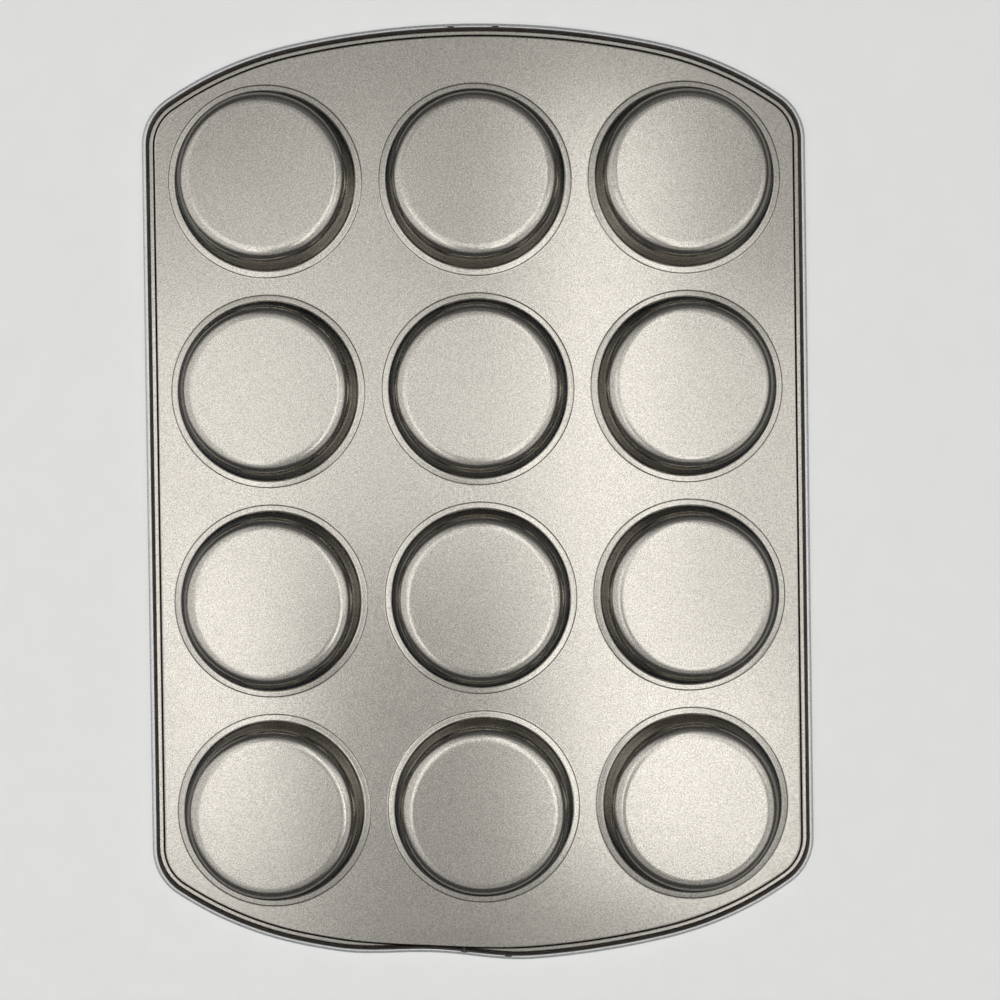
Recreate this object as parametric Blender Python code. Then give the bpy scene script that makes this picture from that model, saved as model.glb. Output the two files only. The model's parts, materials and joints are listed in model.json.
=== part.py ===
"""Twelve-cup muffin top pan: one pressed steel sheet with a curled rim, and the steel wire inside the curl.

The pan stands on its cup floors with the cups open upwards. X runs across the short way, Y along the
long way, and the origin is on the table under the middle of the pan. All sizes are in metres.
The sheet is drawn as its middle surface and then given its thickness.
"""

from math import asin, cos, pi, radians, sin, tan
from typing import NamedTuple

import bmesh
import bpy

# Sheet
SHEET_THICKNESS = 0.0005

# Cups
CUP_COLUMNS = 3
CUP_ROWS = 4
CUP_DEPTH = 0.0127  # from the web down to the floor
CUP_FLOOR_RADIUS = 0.0310
CUP_FLOOR_FILLET = 0.0047
CUP_WALL_DRAFT = radians(11.5)
CUP_MOUTH_BEVEL = 0.0009
CUP_LAND_WIDTH = 0.0022
LAND_STEP_DROP = 0.0004  # how far the land round a cup lies below the web
LAND_STEP_WIDTH = 0.0005
CUP_SEGMENTS = 24

# Web, the flat between the cups and the rim
CUP_GAP = 0.0075  # web between the lands of neighbouring cups
SIDE_MARGIN = 0.0059  # web from a cup's land to the rim's step, on the long sides
END_MARGIN = 0.0201  # the same at the middle of the short sides

# Rim
RIM_STEP_RISE = 0.0015
RIM_STEP_SLOPE = radians(62)
RIM_STEP_BEVEL = 0.0004
RIM_FLANGE_WIDTH = 0.0021
WIRE_DIAMETER = 0.0018
WIRE_CLEARANCE = 0.0003
CURL_END = radians(-98)  # where the cut edge stops, as an angle round the wire from level outwards
CURL_STEPS = 5

# Outline of the rim's outer edge
END_RADIUS = 0.365
SHOULDER_RADIUS = 0.150
SHOULDER_RUN = 0.063  # width of a shoulder and its corner together, in from the long side
CORNER_RADIUS = 0.0235
END_STEP = 0.017
SHOULDER_STEPS = 4
CORNER_STEPS = 5

# Notches in the sheet's cut edge, a pair at the middle of each short side
NOTCH_SPACING = 0.0190
NOTCH_WIDTH = 0.0022
NOTCH_DEPTH = 0.0008
NOTCH_RAMP = 0.0004

# Shallow dent in the rim of one short side, beside the joint of the wire
DENT_X = 0.022
DENT_HALF_LENGTH = 0.043
DENT_DEPTH = 0.0035
DENT_SHARE_WEB = 0.45
DENT_SHARE_FLANGE = 0.62
WIRE_JOINT_X = 0.0095
WIRE_JOINT_GAP = 0.002

LEAST_SPACING = 0.0002  # stations closer than this along a short side are made one
SHARP_ANGLE = radians(35)

# Heights of the sheet's middle surface
HALF_SHEET = SHEET_THICKNESS / 2
FLOOR_HEIGHT = HALF_SHEET
WEB_HEIGHT = FLOOR_HEIGHT + CUP_DEPTH
LAND_HEIGHT = WEB_HEIGHT - LAND_STEP_DROP
FLANGE_HEIGHT = WEB_HEIGHT + RIM_STEP_RISE
CURL_RADIUS = WIRE_DIAMETER / 2 + WIRE_CLEARANCE + HALF_SHEET
CURL_HEIGHT = FLANGE_HEIGHT - CURL_RADIUS


class Station(NamedTuple):
    """A place on the outline: its point, its outward direction, and how deep the dent and notch are there."""

    x: float
    y: float
    out_x: float
    out_y: float
    dent: float
    notch: float


def arc_points(centre, radius, start, end, steps):
    """Points of an arc as (across, up), with its angles measured from level outwards."""
    turns = [start + (end - start) * i / steps for i in range(steps + 1)]
    return [(centre[0] + radius * cos(a), centre[1] + radius * sin(a)) for a in turns]


def cup_profile():
    """The sheet from the web's hole in to the edge of the cup's floor, as (radius, height)."""
    fillet = CUP_FLOOR_FILLET - HALF_SHEET
    centre = (CUP_FLOOR_RADIUS, FLOOR_HEIGHT + fillet)
    floor_curve = arc_points(centre, fillet, -CUP_WALL_DRAFT, -pi / 2, 2)
    foot_radius, foot_height = floor_curve[0]
    mouth_radius = foot_radius + (LAND_HEIGHT - foot_height) * tan(CUP_WALL_DRAFT)
    wall_top = (
        mouth_radius - CUP_MOUTH_BEVEL * sin(CUP_WALL_DRAFT),
        LAND_HEIGHT - CUP_MOUTH_BEVEL * cos(CUP_WALL_DRAFT),
    )
    land_inner = (mouth_radius + CUP_MOUTH_BEVEL, LAND_HEIGHT)
    land_outer = (land_inner[0] + CUP_LAND_WIDTH, LAND_HEIGHT)
    web_hole = (land_outer[0] + LAND_STEP_WIDTH, WEB_HEIGHT)
    return [web_hole, land_outer, land_inner, wall_top] + floor_curve


def step_profile():
    """The rim's step from the web up to the flange, as (distance out from the web's edge, height)."""
    slope_run = RIM_STEP_RISE / tan(RIM_STEP_SLOPE)
    bevel_run = RIM_STEP_BEVEL * cos(RIM_STEP_SLOPE)
    bevel_rise = RIM_STEP_BEVEL * sin(RIM_STEP_SLOPE)
    return [
        (0.0, WEB_HEIGHT),
        (RIM_STEP_BEVEL + bevel_run, WEB_HEIGHT + bevel_rise),
        (RIM_STEP_BEVEL + slope_run - bevel_run, FLANGE_HEIGHT - bevel_rise),
        (2 * RIM_STEP_BEVEL + slope_run, FLANGE_HEIGHT),
    ]


def rim_profile(cut_back):
    """The rim from the web's edge to the cut edge, as (distance out, height, share of the dent)."""
    curl_end = CURL_END + cut_back / CURL_RADIUS
    curl = arc_points((CURL_OUT, CURL_HEIGHT), CURL_RADIUS, pi / 2, curl_end, CURL_STEPS)
    shares = [DENT_SHARE_WEB] * 2 + [DENT_SHARE_FLANGE] * 2 + [1.0] * len(curl)
    return [(out, up, share) for (out, up), share in zip(step_profile() + curl, shares)]


CURL_OUT = step_profile()[-1][0] + RIM_FLANGE_WIDTH
RIM_WIDTH = CURL_OUT + CURL_RADIUS + HALF_SHEET
LAND_RADIUS = cup_profile()[0][0]
CUP_PITCH = 2 * LAND_RADIUS + CUP_GAP
HALF_WIDTH = (CUP_COLUMNS - 1) * CUP_PITCH / 2 + LAND_RADIUS + SIDE_MARGIN + RIM_WIDTH
HALF_LENGTH = (CUP_ROWS - 1) * CUP_PITCH / 2 + LAND_RADIUS + END_MARGIN + RIM_WIDTH
END_HALF_WIDTH = HALF_WIDTH - SHOULDER_RUN  # where the end's arc meets the shoulders


def dent_at(x, y):
    """How far the dent moves the rim inwards."""
    reach = abs(x - DENT_X) / DENT_HALF_LENGTH
    return DENT_DEPTH * (1 + cos(pi * reach)) / 2 if y < 0 and reach < 1 else 0.0


def notch_at(x):
    """How far the cut edge is cut back, on a short side."""
    from_middle = abs(abs(x) - NOTCH_SPACING / 2)
    return NOTCH_DEPTH if from_middle < NOTCH_WIDTH / 2 + LEAST_SPACING / 2 else 0.0


def station(x, y, out_x, out_y, notch=0.0):
    return Station(x, y, out_x, out_y, dent_at(x, y), notch)


def end_stations(side, places, notched=True):
    """Stations on the arc of a short side, at these places across."""
    found = []
    for x in places:
        turn = asin(x / END_RADIUS)
        y = HALF_LENGTH - END_RADIUS * (1 - cos(turn))
        found.append(station(x, side * y, sin(turn), side * cos(turn), notch_at(x) if notched else 0.0))
    return found


def quarter_stations(side_x, side_y):
    """Stations from the end of a long side round its corner and along its shoulder."""
    end_turn = asin(END_HALF_WIDTH / END_RADIUS)
    run = SHOULDER_RUN + SHOULDER_RADIUS * sin(end_turn) - CORNER_RADIUS
    corner_turn = asin(run / (SHOULDER_RADIUS - CORNER_RADIUS))
    end_y = HALF_LENGTH - END_RADIUS * (1 - cos(end_turn))
    shoulder = (
        END_HALF_WIDTH - SHOULDER_RADIUS * sin(end_turn),
        end_y - SHOULDER_RADIUS * cos(end_turn),
    )
    reach = SHOULDER_RADIUS - CORNER_RADIUS
    corner = (shoulder[0] + reach * sin(corner_turn), shoulder[1] + reach * cos(corner_turn))
    arcs = (
        (corner, CORNER_RADIUS, pi / 2, corner_turn, CORNER_STEPS, 0),
        (shoulder, SHOULDER_RADIUS, corner_turn, end_turn, SHOULDER_STEPS, 1),
    )
    found = []
    for centre, radius, start, end, steps, first in arcs:
        for i in range(first, steps + 1):
            turn = start + (end - start) * i / steps
            x, y = centre[0] + radius * sin(turn), centre[1] + radius * cos(turn)
            found.append(station(side_x * x, side_y * y, side_x * sin(turn), side_y * cos(turn)))
    return found


def notch_places():
    """Where the notches start and end across a short side."""
    half = NOTCH_WIDTH / 2
    edges = (-half - NOTCH_RAMP, -half, half, half + NOTCH_RAMP)
    return [side * NOTCH_SPACING / 2 + edge for side in (-1, 1) for edge in edges]


def end_places(kept):
    """Places across a short side, rising: the kept ones, and evenly spaced ones where none of those is near."""
    half_count = round(END_HALF_WIDTH / END_STEP)
    spacing = END_HALF_WIDTH / half_count
    inner = [x for x in kept if abs(x) < END_HALF_WIDTH - LEAST_SPACING]
    even = [spacing * i for i in range(1 - half_count, half_count)]
    clear = [x for x in even if all(abs(x - other) > spacing / 4 for other in inner)]
    rising = sorted(inner + clear)
    return [x for i, x in enumerate(rising) if i == 0 or x - rising[i - 1] > LEAST_SPACING]


def outline():
    """The stations of the whole rim, anticlockwise seen from above."""
    places = end_places(notch_places())
    return (
        quarter_stations(1, 1)
        + end_stations(1, reversed(places))
        + quarter_stations(-1, 1)[::-1]
        + quarter_stations(-1, -1)
        + end_stations(-1, places)
        + quarter_stations(1, -1)[::-1]
    )


def wire_stations():
    """The stations of the wire, from one side of its joint round to the other."""
    before, after = WIRE_JOINT_X - WIRE_JOINT_GAP / 2, WIRE_JOINT_X + WIRE_JOINT_GAP / 2
    places = end_places([before, after])
    return (
        end_stations(-1, [x for x in places if x >= after], notched=False)
        + quarter_stations(1, -1)[::-1]
        + quarter_stations(1, 1)
        + end_stations(1, reversed(places), notched=False)
        + quarter_stations(-1, 1)[::-1]
        + quarter_stations(-1, -1)
        + end_stations(-1, [x for x in places if x <= before], notched=False)
    )


def rim_point(place, out, up, share):
    """A point of the rim's section at a station."""
    inset = RIM_WIDTH - out + share * place.dent
    return (place.x - inset * place.out_x, place.y - inset * place.out_y, up)


def cup_centres():
    for column in range(CUP_COLUMNS):
        for row in range(CUP_ROWS):
            yield (
                (column - (CUP_COLUMNS - 1) / 2) * CUP_PITCH,
                (row - (CUP_ROWS - 1) / 2) * CUP_PITCH,
            )


def add_bands(mesh, rings):
    """Faces between each ring of vertices and the next."""
    for outer, inner in zip(rings, rings[1:]):
        for i in range(len(outer)):
            j = (i + 1) % len(outer)
            mesh.faces.new((outer[i], outer[j], inner[j], inner[i]))


def ring_edges(mesh, ring):
    """The edges that join a closed ring of vertices."""
    following = ring[1:] + ring[:1]
    return [mesh.edges.get(pair) or mesh.edges.new(pair) for pair in zip(ring, following)]


def add_rim(mesh):
    """The rim from the cut edge in to the web. Returns the ring at the web's edge."""
    columns = [
        [mesh.verts.new(rim_point(place, *point)) for point in rim_profile(place.notch)]
        for place in outline()
    ]
    rings = [list(ring) for ring in zip(*columns)]
    add_bands(mesh, rings[::-1])
    return rings[0]


def add_cup(mesh, centre):
    """A cup from the web's hole down to its floor. Returns the ring at the hole."""
    turns = [2 * pi * i / CUP_SEGMENTS for i in range(CUP_SEGMENTS)]
    rings = [
        [mesh.verts.new((centre[0] + r * cos(a), centre[1] + r * sin(a), z)) for a in turns]
        for r, z in cup_profile()
    ]
    add_bands(mesh, rings)
    mesh.faces.new(rings[-1])
    return rings[0]


def metal(name, colour, roughness):
    """A metal with this colour."""
    material = bpy.data.materials.new(name)
    material.use_nodes = True
    shader = material.node_tree.nodes["Principled BSDF"]
    shader.inputs["Base Color"].default_value = (*colour, 1)
    shader.inputs["Metallic"].default_value = 1.0
    shader.inputs["Roughness"].default_value = roughness
    return material


def make_sheet():
    """The pressed sheet: web, cups and rim in one piece."""
    mesh = bmesh.new()
    edges = ring_edges(mesh, add_rim(mesh))
    for centre in cup_centres():
        edges += ring_edges(mesh, add_cup(mesh, centre))
    bmesh.ops.triangle_fill(mesh, use_beauty=True, edges=edges, normal=(0, 0, 1))
    bmesh.ops.recalc_face_normals(mesh, faces=mesh.faces)
    data = bpy.data.meshes.new("pan_sheet")
    mesh.to_mesh(data)
    mesh.free()
    data.shade_smooth()
    data.set_sharp_from_angle(angle=SHARP_ANGLE)
    data.materials.append(metal("pan_nonstick", (0.52, 0.495, 0.445), 0.38))
    sheet = bpy.data.objects.new("pan_sheet", data)
    bpy.context.scene.collection.objects.link(sheet)
    thicken = sheet.modifiers.new("Thickness", "SOLIDIFY")
    thicken.thickness = SHEET_THICKNESS
    thicken.offset = 0.0
    thicken.use_even_offset = True
    return sheet


def make_wire():
    """The rim's stiffening wire, an open loop with its two ends facing each other."""
    curve = bpy.data.curves.new("rim_wire", "CURVE")
    curve.dimensions = "3D"
    curve.bevel_depth = WIRE_DIAMETER / 2
    curve.bevel_resolution = 2
    curve.use_fill_caps = True
    places = wire_stations()
    spline = curve.splines.new("POLY")
    spline.points.add(len(places) - 1)
    for point, place in zip(spline.points, places):
        point.co = (*rim_point(place, CURL_OUT, CURL_HEIGHT, 1.0), 1)
    curve.materials.append(metal("wire_steel", (0.36, 0.35, 0.34), 0.45))
    wire = bpy.data.objects.new("rim_wire", curve)
    bpy.context.scene.collection.objects.link(wire)
    return wire


def main():
    for old in list(bpy.data.objects):
        bpy.data.objects.remove(old)
    make_sheet()
    make_wire()


main()
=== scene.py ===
"""Looks of the twelve-cup muffin top pan, laid out as an add-on and run as a script.

The pan stands on its cup floors with the cups open upwards, and the camera looks up at its underside.
All sizes are in metres. The sheet is drawn as its middle surface and then given its thickness.
"""

import json
from math import asin, ceil, cos, hypot, pi, radians, sin, tan
from typing import NamedTuple

import bmesh
import bpy
from bpy.props import FloatProperty, FloatVectorProperty, PointerProperty
from bpy.types import Operator, Panel, PropertyGroup
from mathutils import Euler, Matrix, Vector
from mathutils.geometry import delaunay_2d_cdt
from mathutils.kdtree import KDTree


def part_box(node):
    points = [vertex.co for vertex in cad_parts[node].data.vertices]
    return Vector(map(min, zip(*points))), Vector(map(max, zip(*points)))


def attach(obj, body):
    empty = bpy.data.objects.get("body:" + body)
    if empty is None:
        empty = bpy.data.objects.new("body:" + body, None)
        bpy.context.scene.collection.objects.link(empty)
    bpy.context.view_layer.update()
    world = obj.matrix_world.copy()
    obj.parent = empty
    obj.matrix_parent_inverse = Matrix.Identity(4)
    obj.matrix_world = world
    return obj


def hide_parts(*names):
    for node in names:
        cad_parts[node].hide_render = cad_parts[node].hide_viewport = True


bl_info = {
    "name": "Muffin Top Pan",
    "version": (1, 0, 0),
    "blender": (4, 5, 0),
    "location": "3D View > Sidebar > Pan",
    "description": "Makes a pressed muffin top pan with its rim wire, its stage, its lamps and its camera",
    "category": "Add Mesh",
}

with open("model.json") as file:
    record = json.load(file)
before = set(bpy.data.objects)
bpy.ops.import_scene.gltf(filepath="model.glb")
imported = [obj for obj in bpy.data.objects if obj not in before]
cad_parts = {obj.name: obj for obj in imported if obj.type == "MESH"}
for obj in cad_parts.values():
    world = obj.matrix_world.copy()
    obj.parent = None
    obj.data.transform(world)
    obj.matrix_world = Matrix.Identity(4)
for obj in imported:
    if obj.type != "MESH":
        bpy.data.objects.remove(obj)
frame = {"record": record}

SHEET_LOW, SHEET_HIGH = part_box("pan_sheet")
WIRE_LOW, WIRE_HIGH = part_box("rim_wire")
RESTS = {mount["name"]: mount["pos_m"] for mount in frame["record"]["mounts"]}
PEWTER = next(m["base_color"] for m in frame["record"]["materials"] if m["slot"] == "nonstick_sheet")
CUP_COLUMNS = 3
CUP_ROWS = 4
CUP_PITCH = (RESTS["rest_front_right"][0] - RESTS["rest_front_left"][0]) / (CUP_COLUMNS - 1)
BOX_MARGIN = 0.00002  # how far the finer curves stay inside the sheet's box
HALF_WIDTH = SHEET_HIGH.x - BOX_MARGIN
HALF_LENGTH = SHEET_HIGH.y - BOX_MARGIN
COLLECTION = bpy.context.scene.collection

# How finely the shapes are drawn
CUP_SEGMENTS = 80
LAND_STEP_STEPS = 3
MOUTH_STEPS = 7
FILLET_STEPS = 12
RIM_STEP_STEPS = 4
CURL_STEPS = 24
CORNER_STEPS = 12
SHOULDER_STEPS = 10
END_SPACING = 0.0032
SIDE_SPACING = 0.008
FLOOR_RING_SPACING = 0.006
WEB_SPACING = 0.004
SUPPORT = 0.0004  # how far a flat's last ring lies from the curve that it meets
LEAST_SPACING = 0.0002  # how near two places along a short side count as one
NEAR_SHARE = 0.25  # an even station this share of the spacing from a kept one is left out
EDGE_SHARE = 0.6  # the web's points stay this share of their spacing away from its edges
SAME_POINT = 0.0000001
SHARP_ANGLE = radians(35)
WIRE_SIDES = 16
CURL_SHARE = "curl_share"  # the mesh's attribute that is 1 on the curl and 0 elsewhere

# How the finishes and the stage are made
NOISE_TURN = (0.5, 0.6, 0.0)  # keeps level flats off the planes where noise is weakest
NOISE_LOW, NOISE_HIGH = 0.25, 0.75  # the range that nearly all of a noise lies in
UNDER_CLEAR = (0.25, 0.31)  # half the width and length of the floor under the pan that reflections leave out
STAGE_GAP = 0.0001  # gap between the pan and the floor or the tabletop
STAGE_GRAIN = 0.01  # size of the floor's faint grain
HORIZON_LOW, HORIZON_HIGH = -0.04, -0.01  # the sky turns into the dim side between these slopes


def length(name, description, default):
    """A size that a user can change."""
    return FloatProperty(name=name, description=description, default=default, precision=5, unit="LENGTH")


def angle(name, description, default):
    """An angle that a user can change."""
    return FloatProperty(name=name, description=description, default=radians(default), unit="ROTATION")


def share(name, description, default):
    """A number from 0 to 1 that a user can change."""
    return FloatProperty(name=name, description=description, default=default, min=0, max=1, subtype="FACTOR")


def colour(name, description, default):
    """A colour that a user can change."""
    return FloatVectorProperty(
        name=name, description=description, default=default, size=3, min=0, max=1, subtype="COLOR"
    )


class PanCupSettings(PropertyGroup):
    """Sizes of one cup and of the sheet that it is pressed into."""

    thickness: length("Sheet thickness", "Thickness of the steel with its coating", 0.0005)
    floor_radius: length("Floor radius", "Radius of the cup's flat floor", 0.0298)
    floor_edge: length("Floor edge", "Width of the faint slope round the flat floor", 0.0009)
    floor_edge_slope: angle("Floor edge slope", "How steep the faint slope is", 5)
    floor_fillet: length("Floor fillet", "Outer radius of the curve up to the wall", 0.0060)
    wall_draft: angle("Wall draft", "How far the wall leans out from upright", 14)
    mouth_round: length("Mouth round", "Radius of the curve from the wall to the land", 0.00135)
    land_width: length("Land width", "Flat land round the cup", 0.0016)
    land_drop: length("Land drop", "How far the land lies below the web", 0.0004)
    land_round: length("Land step round", "Radius of the curves of the land's step", 0.0004)
    land_slope: angle("Land step slope", "Slope of the land's step", 50)


class PanRimSettings(PropertyGroup):
    """Sizes of the rim and of its outline."""

    step_rise: length("Step rise", "How far the flange lies above the web", 0.0015)
    step_slope: angle("Step slope", "Slope of the step up to the flange", 55)
    step_round: length("Step round", "Radius of the step's two curves", 0.0005)
    flange_width: length("Flange width", "Flat flange between the step and the curl", 0.0025)
    curl_round: length("Curl round", "Radius of the curl's middle surface", 0.00145)
    curl_end: angle("Curl end", "Where the cut edge stops, as an angle from level outwards", -98)
    end_radius: length("End radius", "Radius of the bowed short ends", 0.365)
    shoulder_radius: length("Shoulder radius", "Radius of the curve beside each corner", 0.150)
    shoulder_run: length("Shoulder run", "Width of a shoulder and its corner, in from the long side", 0.063)
    corner_radius: length("Corner radius", "Radius of the outline's corners", 0.0235)
    notch_spacing: length("Notch spacing", "Distance between the two notches of a short side", 0.0190)
    notch_width: length("Notch width", "Width of a notch in the cut edge", 0.0022)
    notch_depth: length("Notch depth", "How far the cut edge is cut back at a notch", 0.0005)
    notch_ramp: length("Notch ramp", "Run of the slanted side of a notch", 0.0004)
    dent_x: length("Dent place", "Where the dent lies across the front end", 0.022)
    dent_half_length: length("Dent half length", "Half the length of the dent", 0.043)
    dent_depth: length("Dent depth", "How far the dent moves the curl in", 0.0035)
    dent_web_share: share("Dent at the web", "Share of the dent that the web's edge has", 0.24)
    dent_flange_share: share("Dent at the flange", "Share of the dent that the flange has", 0.35)
    dent_lift: length("Dent lift", "How far the dent raises the web's edge", 0.0003)


class PanWireSettings(PropertyGroup):
    """Sizes and finish of the wire inside the curl."""

    joint_x: length("Joint place", "Where the wire's two ends meet across the front end", 0.0095)
    joint_gap: length("Joint gap", "Gap between the wire's two ends", 0.0004)
    # The steel's colour is made very dark so that the wire paints the shade inside the curl's mouth.
    steel: colour("Steel", "Colour of the dull drawn steel", (0.09, 0.08, 0.075))
    roughness: share("Roughness", "Roughness of the drawn steel", 0.42)
    gloss_spread: share("Uneven gloss", "How far the roughness differs from place to place", 0.1)
    blotch_size: length("Blotch size", "Size of the dull blotches", 0.003)
    blotch_contrast: share("Blotch contrast", "How far the blotches differ from each other", 0.2)
    draw_mark_size: length("Draw mark size", "Size of the fine marks from drawing", 0.0006)


class PanCoatingSettings(PropertyGroup):
    """Finish of the non-stick coating."""

    pewter: colour("Pewter", "Colour of the metallic coating", PEWTER)
    roughness: share("Roughness", "Roughness of the coating", 0.20)
    flop: colour("Flop", "Tint of what the metal flakes reflect at a low angle", (0.08, 0.10, 0.14))
    # The curl's pale colour is partly the coating stretched thin round it and partly a painted highlight
    # that keeps the whole curl bright.
    curl_tint_and_highlight: colour("Curl tint", "Colour of the coating stretched round the curl", (0.88, 0.90, 0.90))
    curl_roughness: share("Curl roughness", "Roughness of the coating round the curl", 0.5)
    gloss_spread: share("Uneven gloss", "How far the roughness differs from place to place", 0.01)
    fleck_size: length("Fleck size", "Size of the metallic flecks", 0.00028)
    fleck_contrast: share("Fleck contrast", "How far the flecks differ from each other", 0.8)
    mottle_size: length("Mottle size", "Size of the soft blotches in the coating", 0.016)
    mottle_contrast: share("Mottle contrast", "How far the blotches differ from each other", 0.02)
    orange_peel: length("Orange peel", "Depth of the coating's fine unevenness", 0.000002)


class PanStageSettings(PropertyGroup):
    """Floor, tabletop, sky and camera."""

    floor: colour("Floor", "Colour of the plain pale floor and tabletop", (0.82, 0.82, 0.81))
    tabletop_glow: share("Tabletop glow", "How much paler the tabletop is than the light makes it", 0.3)
    tabletop_mirrored: share("Tabletop mirrored", "How bright reflections show the tabletop", 0.4)
    floor_glow: share("Floor glow", "How much paler the floor is than the light makes it", 0.13)
    grain_contrast: share("Grain contrast", "How far the floor's faint grain differs", 0.015)
    reach: length("Floor reach", "Half the width of the floor", 60.0)
    sky: share("Sky", "Strength of the pale sky above the floor", 0.62)
    depth: share("Dim side", "Strength of the dim light from below", 0.07)
    lens: FloatProperty(name="Lens", description="Focal length", default=49.68, unit="CAMERA")


class Levels(NamedTuple):
    """Heights of the sheet's middle surface."""

    floor: float
    land: float
    web: float
    flange: float
    curl: float


class Station(NamedTuple):
    """A place on the outline: its point, the direction outwards, and how deep the dent and notch are."""

    x: float
    y: float
    out_x: float
    out_y: float
    dent: float
    notch: float


def levels(cup, rim):
    """Heights of the sheet's middle surface, from its box."""
    half = cup.thickness / 2
    flange = SHEET_HIGH.z - BOX_MARGIN - half
    web = flange - rim.step_rise
    return Levels(SHEET_LOW.z + half, web - cup.land_drop, web, flange, flange - rim.curl_round)


def arc_points(centre, radius, start, end, steps):
    """Points of an arc as (across, up), with its angles measured from level outwards."""
    turns = [start + (end - start) * i / steps for i in range(steps + 1)]
    return [(centre[0] + radius * cos(a), centre[1] + radius * sin(a)) for a in turns]


def step_run(rise, radius, slope):
    """Width of a step of two equal curves and the straight slope between them."""
    return 2 * radius * sin(slope) + (rise - 2 * radius * (1 - cos(slope))) / tan(slope)


def step_points(start, across, up, radius, slope, steps):
    """Points of a step that runs from start towards across (1 or -1) and rises or falls by up."""
    sign = 1 if up > 0 else -1
    run = step_run(abs(up), radius, slope)
    end = (start[0] + across * run, start[1] + up)
    turns = [slope * i / steps for i in range(steps + 1)]
    foot = [(start[0] + across * radius * sin(a), start[1] + sign * radius * (1 - cos(a))) for a in turns]
    head = [(end[0] - across * radius * sin(a), end[1] - sign * radius * (1 - cos(a))) for a in turns]
    return foot + head[::-1]


def cup_section(cup, level):
    """The sheet from the web in to the edge of the cup's floor, as (radius, height)."""
    fillet = cup.floor_fillet - cup.thickness / 2
    draft, edge_slope = cup.wall_draft, cup.floor_edge_slope
    edge = (cup.floor_radius + cup.floor_edge, level.floor + cup.floor_edge * tan(edge_slope))
    middle = (edge[0] - fillet * sin(edge_slope), edge[1] + fillet * cos(edge_slope))
    floor_curve = arc_points(middle, fillet, -draft, edge_slope - pi / 2, FILLET_STEPS)
    floor_curve.append((cup.floor_radius, level.floor))
    foot_radius, foot_height = floor_curve[0]
    corner = foot_radius + (level.land - foot_height) * tan(draft)
    land_inner = corner + cup.mouth_round * tan((pi / 2 - draft) / 2)
    mouth = arc_points(
        (land_inner, level.land - cup.mouth_round), cup.mouth_round, pi / 2, pi - draft, MOUTH_STEPS
    )
    lean = (SUPPORT * sin(draft), SUPPORT * cos(draft))
    wall = [
        (mouth[-1][0] - lean[0], mouth[-1][1] - lean[1]),
        (foot_radius + lean[0], foot_height + lean[1]),
    ]
    run = step_run(cup.land_drop, cup.land_round, cup.land_slope)
    hole = (land_inner + cup.land_width + run, level.web)
    land_step = step_points(hole, -1, -cup.land_drop, cup.land_round, cup.land_slope, LAND_STEP_STEPS)
    return [(hole[0] + SUPPORT, level.web)] + land_step + mouth + wall + floor_curve


def curl_middle(rim):
    """Distance from the web's edge out to the middle of the curl."""
    return step_run(rim.step_rise, rim.step_round, rim.step_slope) + rim.flange_width


def rim_width(cup, rim):
    """Distance from the web's edge out to the outer side of the curl."""
    return curl_middle(rim) + rim.curl_round + cup.thickness / 2


def rim_section(rim, level, place):
    """The rim from the web to the cut edge, as (distance out, height, share of the dent)."""
    lift = rim.dent_lift * place.dent / rim.dent_depth
    foot = (0, level.web + lift)
    step = step_points(foot, 1, rim.step_rise - lift, rim.step_round, rim.step_slope, RIM_STEP_STEPS)
    step_end, curl_start = step[-1][0], curl_middle(rim)
    cut_edge = rim.curl_end + place.notch / rim.curl_round
    curl = arc_points((curl_start, level.curl), rim.curl_round, pi / 2, cut_edge, CURL_STEPS)
    flange = [(step_end + SUPPORT, level.flange), (curl_start - SUPPORT, level.flange)]
    section = [(-SUPPORT, foot[1])] + step + flange + curl
    return [(out, up, dent_share(rim, out, step_end, curl_start)) for out, up in section]


def dent_share(rim, out, step_end, curl_start):
    """Share of the dent this far out, which grows over the step and again over the flange."""
    if out < step_end:
        start, end = rim.dent_web_share, rim.dent_flange_share
        along = max(out, 0) / step_end
    else:
        start, end = rim.dent_flange_share, 1
        along = min((out - step_end) / (curl_start - step_end), 1)
    return start + (end - start) * along


def dent_at(rim, x, y):
    """How far the dent moves the rim inwards."""
    reach = abs(x - rim.dent_x) / rim.dent_half_length
    return rim.dent_depth * (1 + cos(pi * reach)) / 2 if y < 0 and reach < 1 else 0.0


def notch_at(rim, x):
    """How far the cut edge is cut back, on a short side."""
    from_middle = abs(abs(x) - rim.notch_spacing / 2)
    return rim.notch_depth if from_middle < rim.notch_width / 2 + LEAST_SPACING / 2 else 0.0


def station(rim, x, y, out_x, out_y, notch=0.0):
    """The station at this point, with its share of the dent."""
    return Station(x, y, out_x, out_y, dent_at(rim, x, y), notch)


def end_stations(rim, side, places, notched=True):
    """Stations on the arc of a short side, at these places across."""
    found = []
    for x in places:
        turn = asin(x / rim.end_radius)
        y = HALF_LENGTH - rim.end_radius * (1 - cos(turn))
        notch = notch_at(rim, x) if notched else 0.0
        found.append(station(rim, x, side * y, sin(turn), side * cos(turn), notch))
    return found


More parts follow.
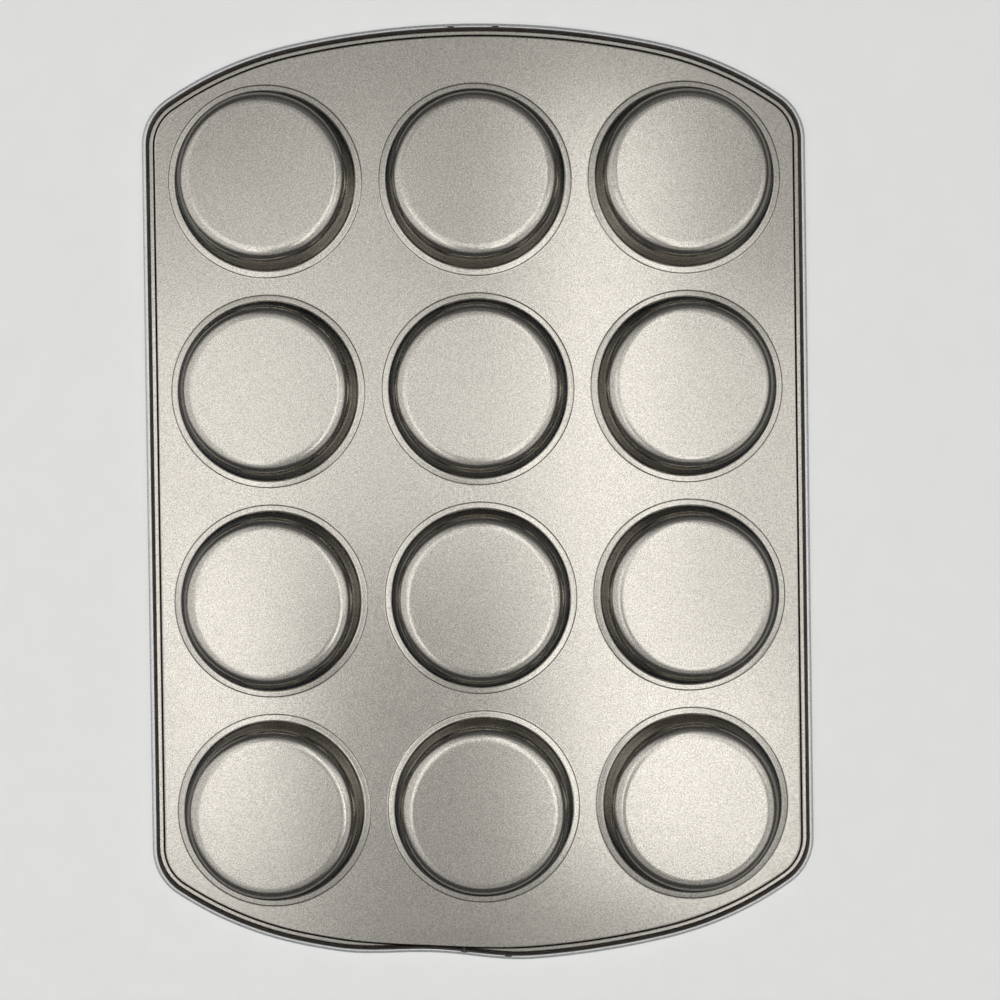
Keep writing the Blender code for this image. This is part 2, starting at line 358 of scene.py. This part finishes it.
def quarter_stations(rim, side_x, side_y):
    """Stations from the end of a long side round its corner and along its shoulder."""
    end_half_width = HALF_WIDTH - rim.shoulder_run
    end_turn = asin(end_half_width / rim.end_radius)
    reach = rim.shoulder_radius - rim.corner_radius
    run = rim.shoulder_run + rim.shoulder_radius * sin(end_turn) - rim.corner_radius
    corner_turn = asin(run / reach)
    end_y = HALF_LENGTH - rim.end_radius * (1 - cos(end_turn))
    shoulder = (
        end_half_width - rim.shoulder_radius * sin(end_turn),
        end_y - rim.shoulder_radius * cos(end_turn),
    )
    corner = (shoulder[0] + reach * sin(corner_turn), shoulder[1] + reach * cos(corner_turn))
    arcs = (
        (corner, rim.corner_radius, pi / 2, corner_turn, CORNER_STEPS, 0),
        (shoulder, rim.shoulder_radius, corner_turn, end_turn, SHOULDER_STEPS, 1),
    )
    found = []
    for centre, radius, start, end, steps, first in arcs:
        for i in range(first, steps + 1):
            turn = start + (end - start) * i / steps
            x, y = centre[0] + radius * sin(turn), centre[1] + radius * cos(turn)
            found.append(station(rim, side_x * x, side_y * y, side_x * sin(turn), side_y * cos(turn)))
    return found


def side_stations(rim, side):
    """Stations along a long side between its two corners, in the outline's direction."""
    reach = abs(quarter_stations(rim, 1, 1)[0].y)
    count = ceil(2 * reach / SIDE_SPACING)
    places = [reach * (2 * i / count - 1) for i in range(1, count)]
    return [station(rim, side * HALF_WIDTH, side * y, side, 0.0) for y in places]


def notch_places(rim):
    """Where the notches start and end across a short side."""
    half = rim.notch_width / 2
    edges = (-half - rim.notch_ramp, -half, half, half + rim.notch_ramp)
    return [side * rim.notch_spacing / 2 + edge for side in (-1, 1) for edge in edges]


def end_places(rim, kept):
    """Places across a short side, rising: the kept ones, and even ones where no kept one is near."""
    end_half_width = HALF_WIDTH - rim.shoulder_run
    half_count = round(end_half_width / END_SPACING)
    spacing = end_half_width / half_count
    even = [spacing * i for i in range(1 - half_count, half_count)]
    clear = [x for x in even if all(abs(x - other) > spacing * NEAR_SHARE for other in kept)]
    return sorted(kept + clear)


def outline(rim):
    """The stations of the whole rim, anticlockwise seen from above."""
    places = end_places(rim, notch_places(rim))
    return (
        quarter_stations(rim, 1, 1)
        + end_stations(rim, 1, reversed(places))
        + quarter_stations(rim, -1, 1)[::-1]
        + side_stations(rim, -1)
        + quarter_stations(rim, -1, -1)
        + end_stations(rim, -1, places)
        + quarter_stations(rim, 1, -1)[::-1]
        + side_stations(rim, 1)
    )


def wire_stations(rim, wire):
    """The stations of the wire, from one side of its joint round to the other."""
    before, after = wire.joint_x - wire.joint_gap / 2, wire.joint_x + wire.joint_gap / 2
    places = end_places(rim, [before, after])
    return (
        end_stations(rim, -1, [x for x in places if x >= after], notched=False)
        + quarter_stations(rim, 1, -1)[::-1]
        + side_stations(rim, 1)
        + quarter_stations(rim, 1, 1)
        + end_stations(rim, 1, reversed(places), notched=False)
        + quarter_stations(rim, -1, 1)[::-1]
        + side_stations(rim, -1)
        + quarter_stations(rim, -1, -1)
        + end_stations(rim, -1, [x for x in places if x <= before], notched=False)
    )


def rim_point(place, width, out, up, part):
    """A point of the rim's section at a station."""
    inset = width - out + part * place.dent
    return Vector((place.x - inset * place.out_x, place.y - inset * place.out_y, up))


def cup_centres():
    """The middle of each cup, as (x, y)."""
    for column in range(CUP_COLUMNS):
        for row in range(CUP_ROWS):
            yield (
                (column - (CUP_COLUMNS - 1) / 2) * CUP_PITCH,
                (row - (CUP_ROWS - 1) / 2) * CUP_PITCH,
            )


def add_ring(mesh, centre, radius, height):
    """A level ring of vertices."""
    x, y = centre
    turns = [2 * pi * i / CUP_SEGMENTS for i in range(CUP_SEGMENTS)]
    return [mesh.verts.new((x + radius * cos(a), y + radius * sin(a), height)) for a in turns]


def add_bands(mesh, rings):
    """Faces between each ring of vertices and the next."""
    for outer, inner in zip(rings, rings[1:]):
        for i in range(len(outer)):
            j = (i + 1) % len(outer)
            mesh.faces.new((outer[i], outer[j], inner[j], inner[i]))


def add_rim(mesh, cup, rim, level):
    """The rim from the cut edge in to the web. Returns the ring at the web's edge."""
    width = rim_width(cup, rim)
    curl_share = mesh.verts.layers.float.new(CURL_SHARE)
    columns = [
        [mesh.verts.new(rim_point(place, width, *point)) for point in rim_section(rim, level, place)]
        for place in outline(rim)
    ]
    rings = [list(ring) for ring in zip(*columns)]
    for ring in rings[-CURL_STEPS:]:
        for vertex in ring:
            vertex[curl_share] = 1.0
    add_bands(mesh, rings[::-1])
    return rings[0]


def add_cup(mesh, cup, level, centre):
    """A cup from the web down to the middle of its floor. Returns the ring at the web."""
    rings = [add_ring(mesh, centre, r, z) for r, z in cup_section(cup, level)]
    inner = cup.floor_radius - SUPPORT
    count = round(inner / FLOOR_RING_SPACING)
    rings += [add_ring(mesh, centre, inner * i / count, level.floor) for i in range(count, 0, -1)]
    add_bands(mesh, rings)
    middle = mesh.verts.new((centre[0], centre[1], level.floor))
    last = rings[-1]
    for i in range(CUP_SEGMENTS):
        mesh.faces.new((last[i], last[(i + 1) % CUP_SEGMENTS], middle))
    return rings[0]


def web_points(edge, hole_radius, spacing):
    """Points of a triangular lattice over the web, none of them over a cup or close to an edge."""
    tree = KDTree(len(edge))
    for i, vertex in enumerate(edge):
        tree.insert((vertex.co.x, vertex.co.y, 0), i)
    tree.balance()
    row_height = spacing * sin(pi / 3)
    found = []
    for row in range(int(-HALF_LENGTH / row_height), int(HALF_LENGTH / row_height) + 1):
        for column in range(int(-HALF_WIDTH / spacing), int(HALF_WIDTH / spacing) + 1):
            x, y = (column + row % 2 / 2) * spacing, row * row_height
            over_cup = any(hypot(x - across, y - along) < hole_radius for across, along in cup_centres())
            if not over_cup and tree.find((x, y, 0))[2] > spacing * EDGE_SHARE:
                found.append((x, y))
    return found


def fill_web(mesh, loops, hole_radius, height):
    """The web between the rim's ring, which is the first loop, and the cups' rings."""
    edge = [vertex for loop in loops for vertex in loop]
    cup_of = {vertex: i for i, loop in enumerate(loops) for vertex in loop if i}
    edges = []
    for loop in loops:
        start = len(edges)
        edges += [(start + i, start + (i + 1) % len(loop)) for i in range(len(loop))]
    inner = web_points(edge, hole_radius, WEB_SPACING)
    flat = [Vector((v.co.x, v.co.y)) for v in edge] + [Vector(point) for point in inner]
    inside_only = 1
    places, _, faces, origins, _, _ = delaunay_2d_cdt(flat, edges, [], inside_only, SAME_POINT)
    known = {}
    for face in faces:
        corners = []
        for i in face:
            if i not in known:
                first = origins[i][0]
                place = (places[i].x, places[i].y, height)
                known[i] = edge[first] if first < len(edge) else mesh.verts.new(place)
            corners.append(known[i])
        rings_met = {cup_of.get(corner) for corner in corners}
        over_cup = len(rings_met) == 1 and None not in rings_met
        if not over_cup:
            mesh.faces.new(corners)


def add_object(name, mesh):
    """A new object made of this mesh."""
    data = bpy.data.meshes.new(name)
    mesh.to_mesh(data)
    mesh.free()
    made = bpy.data.objects.new(name, data)
    COLLECTION.objects.link(made)
    return made


def thicken(piece, thickness):
    """Give the piece's surface a thickness, half of it to each side."""
    modifier = piece.modifiers.new("Thickness", "SOLIDIFY")
    modifier.thickness = thickness
    modifier.offset = 0.0
    modifier.use_even_offset = True
    evaluated = piece.evaluated_get(bpy.context.evaluated_depsgraph_get())
    thick = bpy.data.meshes.new_from_object(evaluated)
    piece.modifiers.clear()
    piece.data = thick


def dress(piece, material):
    """Give the piece its material, and shade it smooth but for its sharp edges."""
    piece.data.shade_smooth()
    piece.data.set_sharp_from_angle(angle=SHARP_ANGLE)
    piece.data.materials.append(material)


def new_tree(name):
    """A new material, its node tree and its shader."""
    material = bpy.data.materials.new(name)
    material.use_nodes = True
    return material, material.node_tree, material.node_tree.nodes["Principled BSDF"]


def add_node(tree, kind, values=None, **settings):
    """A node with these settings, and these values or links on its inputs."""
    node = tree.nodes.new(kind)
    for key, value in settings.items():
        setattr(node, key, value)
    for key, value in (values or {}).items():
        if isinstance(value, bpy.types.NodeSocket):
            tree.links.new(value, node.inputs[key])
        else:
            node.inputs[key].default_value = value
    return node


def add_noise(tree, place, size, detail=2.0, roughness=0.5):
    """Soft noise with features of this size, as a socket."""
    values = {"Vector": place, "Scale": 1 / size, "Detail": detail, "Roughness": roughness}
    return add_node(tree, "ShaderNodeTexNoise", values).outputs["Fac"]


def add_range(tree, value, low, high, new_low, new_high):
    """A value moved from one range to another, as a socket."""
    values = {"Value": value, "From Min": low, "From Max": high, "To Min": new_low, "To Max": new_high}
    return add_node(tree, "ShaderNodeMapRange", values).outputs["Result"]


def add_spread(tree, noise, middle, spread):
    """A noise moved to the range that lies this far to each side of a middle, as a socket."""
    return add_range(tree, noise, NOISE_LOW, NOISE_HIGH, middle - spread, middle + spread)


def add_mix(tree, amount, first, second):
    """The first colour where the amount is 0 and the second where it is 1, as a socket."""
    node = add_node(tree, "ShaderNodeMixRGB", {"Fac": amount, "Color1": (*first, 1), "Color2": (*second, 1)})
    return node.outputs["Color"]


def add_scaled(tree, tint, amount):
    """A colour times an amount, as a socket."""
    node = add_node(tree, "ShaderNodeVectorMath", {0: tint, "Scale": amount}, operation="SCALE")
    return node.outputs["Vector"]


def add_maths(tree, operation, *values):
    """The result of a sum, as a socket."""
    node = add_node(tree, "ShaderNodeMath", dict(enumerate(values)), operation=operation)
    return node.outputs["Value"]


def coating_material(coating):
    """The satin non-stick coating: fine metallic flecks, soft blotches, a slight orange peel, and a much
    paler curl that is partly the coating stretched round it and partly a painted highlight.
    """
    material, tree, shader = new_tree("pewter_nonstick")
    origin = add_node(tree, "ShaderNodeTexCoord").outputs["Object"]
    turned = add_node(tree, "ShaderNodeMapping", {"Vector": origin, "Rotation": NOISE_TURN})
    place = turned.outputs["Vector"]
    curl = add_node(tree, "ShaderNodeAttribute", attribute_name=CURL_SHARE).outputs["Fac"]

    fleck = add_noise(tree, place, coating.fleck_size, 2.0, 0.7)
    mottle = add_noise(tree, place, coating.mottle_size, 3.0, 0.55)
    fleck_brightness = add_spread(tree, fleck, 1, coating.fleck_contrast)
    mottle_brightness = add_spread(tree, mottle, 1, coating.mottle_contrast)
    brightness = add_maths(tree, "MULTIPLY", fleck_brightness, mottle_brightness)
    # On the curl the base colour turns much paler: partly the stretched coating, partly a painted highlight
    # along the curl.
    base = add_mix(tree, curl, coating.pewter, coating.curl_tint_and_highlight)
    tree.links.new(add_scaled(tree, base, brightness), shader.inputs["Base Color"])
    shader.inputs["Metallic"].default_value = 1.0
    tree.links.new(add_mix(tree, curl, coating.flop, (1, 1, 1)), shader.inputs["Specular Tint"])

    uneven = add_noise(tree, place, coating.mottle_size / 3)
    flat_roughness = add_spread(tree, uneven, coating.roughness, coating.gloss_spread)
    roughness = add_range(tree, curl, 0.0, 1.0, flat_roughness, coating.curl_roughness)
    tree.links.new(roughness, shader.inputs["Roughness"])

    peel = add_noise(tree, place, coating.fleck_size * 2, 2.0, 0.6)
    bump = add_node(tree, "ShaderNodeBump", {"Height": peel, "Distance": coating.orange_peel})
    tree.links.new(bump.outputs["Normal"], shader.inputs["Normal"])
    return material


def steel_material(wire):
    """Bare drawn steel, with dull blotches, its colour made very dark as painted shade in the curl's mouth.
    """
    material, tree, shader = new_tree("drawn_steel_with_painted_shade")
    place = add_node(tree, "ShaderNodeTexCoord").outputs["Object"]
    blotch = add_noise(tree, place, wire.blotch_size, 3.0, 0.6)
    brightness = add_spread(tree, blotch, 1, wire.blotch_contrast)
    # The very dark steel colour is painted shade inside the curl's mouth.
    tree.links.new(add_scaled(tree, tuple(wire.steel), brightness), shader.inputs["Base Color"])
    shader.inputs["Metallic"].default_value = 1.0
    marks = add_noise(tree, place, wire.draw_mark_size)
    roughness = add_spread(tree, marks, wire.roughness, wire.gloss_spread)
    tree.links.new(roughness, shader.inputs["Roughness"])
    return material


class PAN_OT_make_sheet(Operator):
    """Make the pressed sheet: web, cups and rim in one piece"""

    bl_idname = "pan.make_sheet"
    bl_label = "Pressed Sheet"

    def execute(self, context):
        cup, rim = context.scene.pan_cup, context.scene.pan_rim
        level = levels(cup, rim)
        mesh = bmesh.new()
        loops = [add_rim(mesh, cup, rim, level)]
        loops += [add_cup(mesh, cup, level, centre) for centre in cup_centres()]
        fill_web(mesh, loops, cup_section(cup, level)[0][0], level.web)
        bmesh.ops.recalc_face_normals(mesh, faces=mesh.faces)
        sheet = add_object("pressed_sheet", mesh)
        thicken(sheet, cup.thickness)
        dress(sheet, coating_material(context.scene.pan_coating))
        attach(sheet, "root")
        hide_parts("pan_sheet")
        return {"FINISHED"}


def add_wire(mesh, cup, rim, wire):
    """The wire along the middle of the curl, with its two ends closed."""
    radius = (WIRE_HIGH.z - WIRE_LOW.z) / 2
    height = (WIRE_HIGH.z + WIRE_LOW.z) / 2
    width = rim_width(cup, rim)
    up = Vector((0, 0, 1))
    turns = [2 * pi * i / WIRE_SIDES for i in range(WIRE_SIDES)]
    rings = []
    for place in wire_stations(rim, wire):
        middle = rim_point(place, width, curl_middle(rim), height, 1.0)
        out = Vector((place.out_x, place.out_y, 0))
        rings.append([mesh.verts.new(middle + radius * (cos(a) * out + sin(a) * up)) for a in turns])
    add_bands(mesh, rings)
    for ring in (rings[0], rings[-1]):
        mesh.faces.new(ring)


class PAN_OT_make_wire(Operator):
    """Make the steel wire that the rim is rolled round"""

    bl_idname = "pan.make_wire"
    bl_label = "Rim Wire"

    def execute(self, context):
        cup, rim, wire = context.scene.pan_cup, context.scene.pan_rim, context.scene.pan_wire
        mesh = bmesh.new()
        add_wire(mesh, cup, rim, wire)
        bmesh.ops.recalc_face_normals(mesh, faces=mesh.faces)
        piece = add_object("drawn_wire", mesh)
        dress(piece, steel_material(wire))
        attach(piece, "root")
        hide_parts("rim_wire")
        return {"FINISHED"}


def one_sided(name, stage, glow, mirrored, seen_by_gloss):
    """A pale matt finish that shows only from its front, to the camera and in reflections.

    Other light passes through it. glow is how much paler it is than the light on it makes it, and mirrored
    is how bright a reflection shows it. seen_by_gloss takes the node tree and the place, and gives 1 where
    reflections show it and 0 where they don't.
    """
    material, tree, _ = new_tree(name)
    tree.nodes.clear()
    place = add_node(tree, "ShaderNodeTexCoord").outputs["Object"]
    grain = add_spread(tree, add_noise(tree, place, STAGE_GRAIN, 3.0, 0.6), 1, stage.grain_contrast)
    path = add_node(tree, "ShaderNodeLightPath")
    brightness = add_range(tree, path.outputs["Is Camera Ray"], 0.0, 1.0, mirrored, 1.0)
    shade = add_scaled(tree, tuple(stage.floor), add_maths(tree, "MULTIPLY", grain, brightness))
    lit = add_node(tree, "ShaderNodeBsdfDiffuse", {"Color": shade})
    paler = add_node(tree, "ShaderNodeEmission", {"Color": shade, "Strength": glow})
    matt = add_node(tree, "ShaderNodeAddShader", {0: lit.outputs[0], 1: paler.outputs[0]})
    clear = add_node(tree, "ShaderNodeBsdfTransparent")
    back = add_node(tree, "ShaderNodeNewGeometry").outputs["Backfacing"]
    glossy = add_maths(tree, "MULTIPLY", path.outputs["Is Glossy Ray"], seen_by_gloss(tree, place))
    seen = add_maths(tree, "MAXIMUM", path.outputs["Is Camera Ray"], glossy)
    front = add_maths(tree, "MULTIPLY", seen, add_maths(tree, "SUBTRACT", 1.0, back))
    mix = add_node(tree, "ShaderNodeMixShader", {0: front, 1: clear.outputs[0], 2: matt.outputs[0]})
    output = add_node(tree, "ShaderNodeOutputMaterial")
    tree.links.new(mix.outputs[0], output.inputs["Surface"])
    return material


def past_the_pan(tree, place):
    """1 where the floor isn't under the pan, and 0 where it is, so that light from below reaches the pan."""
    parts = add_node(tree, "ShaderNodeSeparateXYZ", {"Vector": place})
    across = add_maths(tree, "DIVIDE", add_maths(tree, "ABSOLUTE", parts.outputs["X"]), UNDER_CLEAR[0])
    along = add_maths(tree, "DIVIDE", add_maths(tree, "ABSOLUTE", parts.outputs["Y"]), UNDER_CLEAR[1])
    return add_maths(tree, "GREATER_THAN", add_maths(tree, "MAXIMUM", across, along), 1.0)


def everywhere(tree, place):
    """1 at every place."""
    return 1.0


def add_stage_part(name, mesh, material):
    """A part of the stage made of this mesh."""
    part = add_object(name, mesh)
    part.data.materials.append(material)


def square(mesh, reach, height):
    """A ring of four vertices at the corners of a level square."""
    return [mesh.verts.new((x * reach, y * reach, height)) for x, y in ((-1, -1), (1, -1), (1, 1), (-1, 1))]


def floor_mesh(reach):
    """The level floor under the cups, facing up."""
    mesh = bmesh.new()
    mesh.faces.new(square(mesh, reach, SHEET_LOW.z - STAGE_GAP))
    return mesh


def tabletop_mesh(rim, reach):
    """The level tabletop above the rim, facing down, with a hole whose edge lies behind the curl."""
    mesh = bmesh.new()
    height = SHEET_HIGH.z + STAGE_GAP
    hole = [mesh.verts.new(rim_point(place, rim.curl_round, 0, height, 1.0)) for place in outline(rim)]
    outer = square(mesh, reach, height)
    edges = [mesh.edges.new(pair) for ring in (hole, outer) for pair in zip(ring, ring[1:] + ring[:1])]
    bmesh.ops.triangle_fill(mesh, use_beauty=True, edges=edges, normal=(0, 0, -1))
    for face in mesh.faces:
        if face.normal.z > 0:
            face.normal_flip()
    return mesh


class PAN_OT_make_stage(Operator):
    """Make the pale floor, the pale tabletop above the rim and the sky"""

    bl_idname = "pan.make_stage"
    bl_label = "Stage"

    def execute(self, context):
        stage, rim = context.scene.pan_stage, context.scene.pan_rim
        pale = one_sided("pale_floor", stage, stage.floor_glow, 1.0, past_the_pan)
        add_stage_part("floor", floor_mesh(stage.reach), pale)
        glow, mirrored = stage.tabletop_glow, stage.tabletop_mirrored
        pale = one_sided("pale_tabletop", stage, glow, mirrored, everywhere)
        add_stage_part("tabletop", tabletop_mesh(rim, stage.reach), pale)
        context.scene.world = sky_world(stage)
        context.scene.view_settings.view_transform = "Standard"
        return {"FINISHED"}


def sky_world(stage):
    """A pale sky above the floor, and dim light below it."""
    world = bpy.data.worlds.new("studio")
    world.use_nodes = True
    tree = world.node_tree
    background = tree.nodes["Background"]
    direction = add_node(tree, "ShaderNodeTexCoord").outputs["Generated"]
    up = add_node(tree, "ShaderNodeSeparateXYZ", {"Vector": direction}).outputs["Z"]
    strength = add_range(tree, up, HORIZON_LOW, HORIZON_HIGH, stage.depth, stage.sky)
    tree.links.new(strength, background.inputs["Strength"])
    background.inputs["Color"].default_value = (1, 1, 1, 1)
    return world


class Lamp(NamedTuple):
    """A soft lamp: its name, where it is, its width and height, and how bright its face is."""

    name: str
    place: tuple
    size: tuple
    brightness: float


# The lamps below face straight up. No two lie at one height, because level faces that overlap at one height
# hide each other.
PANELS_BELOW = (
    Lamp("long_wall", (1.3, -0.3, -1.5), (7.4, 2.6), 0.38),
    Lamp("right_strip", (-0.2, 0.0, -1.515), (0.2, 1.2), 1.42),
    Lamp("left_wall", (2.775, 0.3, -1.53), (4.45, 2.6), 0.45),
    Lamp("left_strip", (0.425, -0.25, -1.65), (0.25, 1.5), 0.42),
    Lamp("right_panel", (-0.75, 0.0, -1.545), (0.9, 0.6), 0.57),
    Lamp("middle_panel", (0.375, 0.1, -1.56), (0.95, 0.4), 0.58),
    Lamp("lower_left_panel", (0.425, -0.35, -1.575), (0.25, 0.5), 1.08),
    Lamp("upper_right_wall", (-1.425, 1.15, -1.59), (3.95, 2.9), 0.09),
    Lamp("lower_right_panel", (-0.425, -0.5, -1.605), (0.25, 0.4), 1.40),
    Lamp("upper_left_panel", (0.2, 0.45, -1.62), (0.2, 0.3), 0.45),
    Lamp("right_wall", (-1.625, -1.0, -1.635), (1.55, 3.2), 0.31),
)
LAMPS_ABOVE = (
    Lamp("above_key", (-0.9, -0.9, 1.6), (1.2, 1.2), 4.0),
    Lamp("above_fill", (1.2, 0.6, 1.4), (1.0, 1.0), 2.3),
)


def add_lamp(lamp, aim):
    """A soft lamp that shines along aim."""
    data = bpy.data.lights.new(lamp.name, "AREA")
    data.shape = "RECTANGLE"
    data.size, data.size_y = lamp.size
    data.energy = lamp.brightness * pi * lamp.size[0] * lamp.size[1]
    made = bpy.data.objects.new(lamp.name, data)
    made.location = lamp.place
    made.rotation_euler = aim.to_track_quat("-Z", "Y").to_euler()
    made.visible_camera = False
    COLLECTION.objects.link(made)


class PAN_OT_make_lamps(Operator):
    """Make the soft studio lamps"""

    bl_idname = "pan.make_lamps"
    bl_label = "Lamps"

    def execute(self, context):
        for lamp in PANELS_BELOW:
            add_lamp(lamp, Vector((0, 0, 1)))
        for lamp in LAMPS_ABOVE:
            add_lamp(lamp, -Vector(lamp.place))
        return {"FINISHED"}


CAMERA_PLACE = (0.00097, 0.00117, -0.57493)
CAMERA_TURN = (179.612, 0.944, -179.191)


class PAN_OT_make_camera(Operator):
    """Make the camera that looks up at the pan's underside"""

    bl_idname = "pan.make_camera"
    bl_label = "Camera"

    def execute(self, context):
        data = bpy.data.cameras.new("camera")
        data.lens = context.scene.pan_stage.lens
        camera = bpy.data.objects.new("camera", data)
        camera.location = CAMERA_PLACE
        camera.rotation_euler = Euler([radians(turn) for turn in CAMERA_TURN])
        COLLECTION.objects.link(camera)
        context.scene.camera = camera
        return {"FINISHED"}


OPERATORS = (PAN_OT_make_camera, PAN_OT_make_sheet, PAN_OT_make_wire, PAN_OT_make_stage, PAN_OT_make_lamps)
SETTINGS = {
    "pan_cup": PanCupSettings,
    "pan_rim": PanRimSettings,
    "pan_wire": PanWireSettings,
    "pan_coating": PanCoatingSettings,
    "pan_stage": PanStageSettings,
}


class PAN_PT_sidebar(Panel):
    """Sizes, finishes and operators of the pan"""

    bl_label = "Muffin Top Pan"
    bl_idname = "PAN_PT_sidebar"
    bl_space_type = "VIEW_3D"
    bl_region_type = "UI"
    bl_category = "Pan"

    def draw(self, context):
        for operator in OPERATORS:
            self.layout.operator(operator.bl_idname)
        for name, group in SETTINGS.items():
            box = self.layout.box()
            for key in group.__annotations__:
                box.prop(getattr(context.scene, name), key)


CLASSES = (*SETTINGS.values(), *OPERATORS, PAN_PT_sidebar)


def register():
    """Register the classes, and put the settings on the scene."""
    for made in CLASSES:
        bpy.utils.register_class(made)
    for name, group in SETTINGS.items():
        setattr(bpy.types.Scene, name, PointerProperty(type=group))


def unregister():
    """Take the settings off the scene, and unregister the classes."""
    for name in SETTINGS:
        delattr(bpy.types.Scene, name)
    for made in reversed(CLASSES):
        bpy.utils.unregister_class(made)


def main():
    """Make the pan, its stage, its lamps and its camera."""
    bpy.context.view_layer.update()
    register()
    bpy.ops.pan.make_camera()
    bpy.ops.pan.make_sheet()
    bpy.ops.pan.make_wire()
    bpy.ops.pan.make_stage()
    bpy.ops.pan.make_lamps()


if __name__ == "__main__":
    main()
